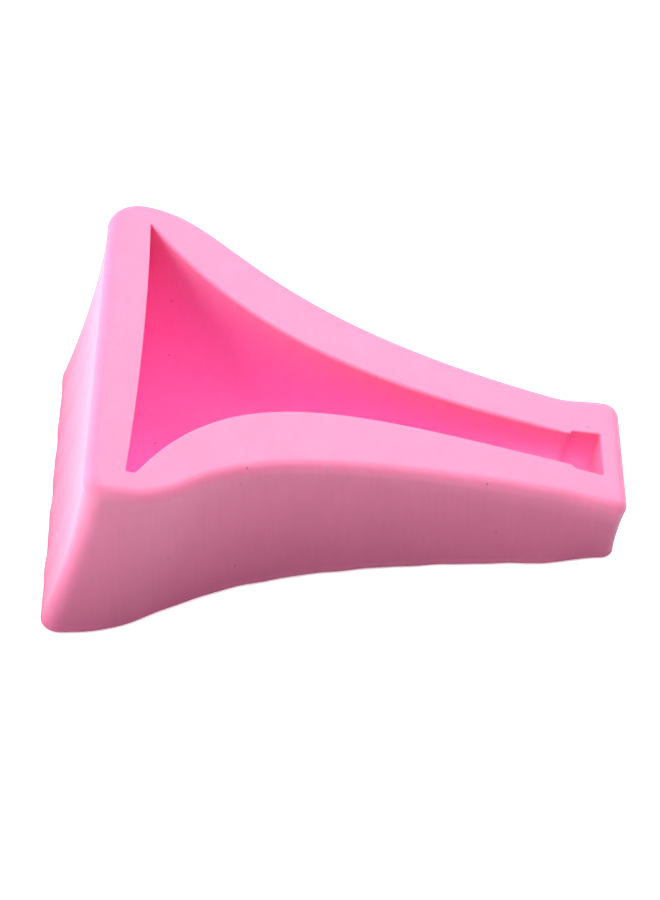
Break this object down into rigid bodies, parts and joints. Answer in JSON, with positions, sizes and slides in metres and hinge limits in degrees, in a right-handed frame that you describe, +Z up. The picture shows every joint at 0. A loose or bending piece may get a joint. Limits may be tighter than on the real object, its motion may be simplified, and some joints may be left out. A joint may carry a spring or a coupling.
{
  "type": "resin casting mould",
  "caption": "One-piece open silicone mould that casts the heel of a high-heeled shoe lying on its side, with a deep seat end and a small tip pocket.",
  "frame": {"origin": "centre of the flat base, under the middle of the outside", "axes": "+X along the heel from the seat end to the tip end, +Y towards the back curve of the heel, +Z up, square to the flat base, out of the open side"},
  "size_m": [0.1106, 0.0792, 0.0385],
  "materials": {
    "silicone": "satin"
  },
  "bodies": {
    "root": {"mould_body": "silicone"}
  },
  "joints": []
}
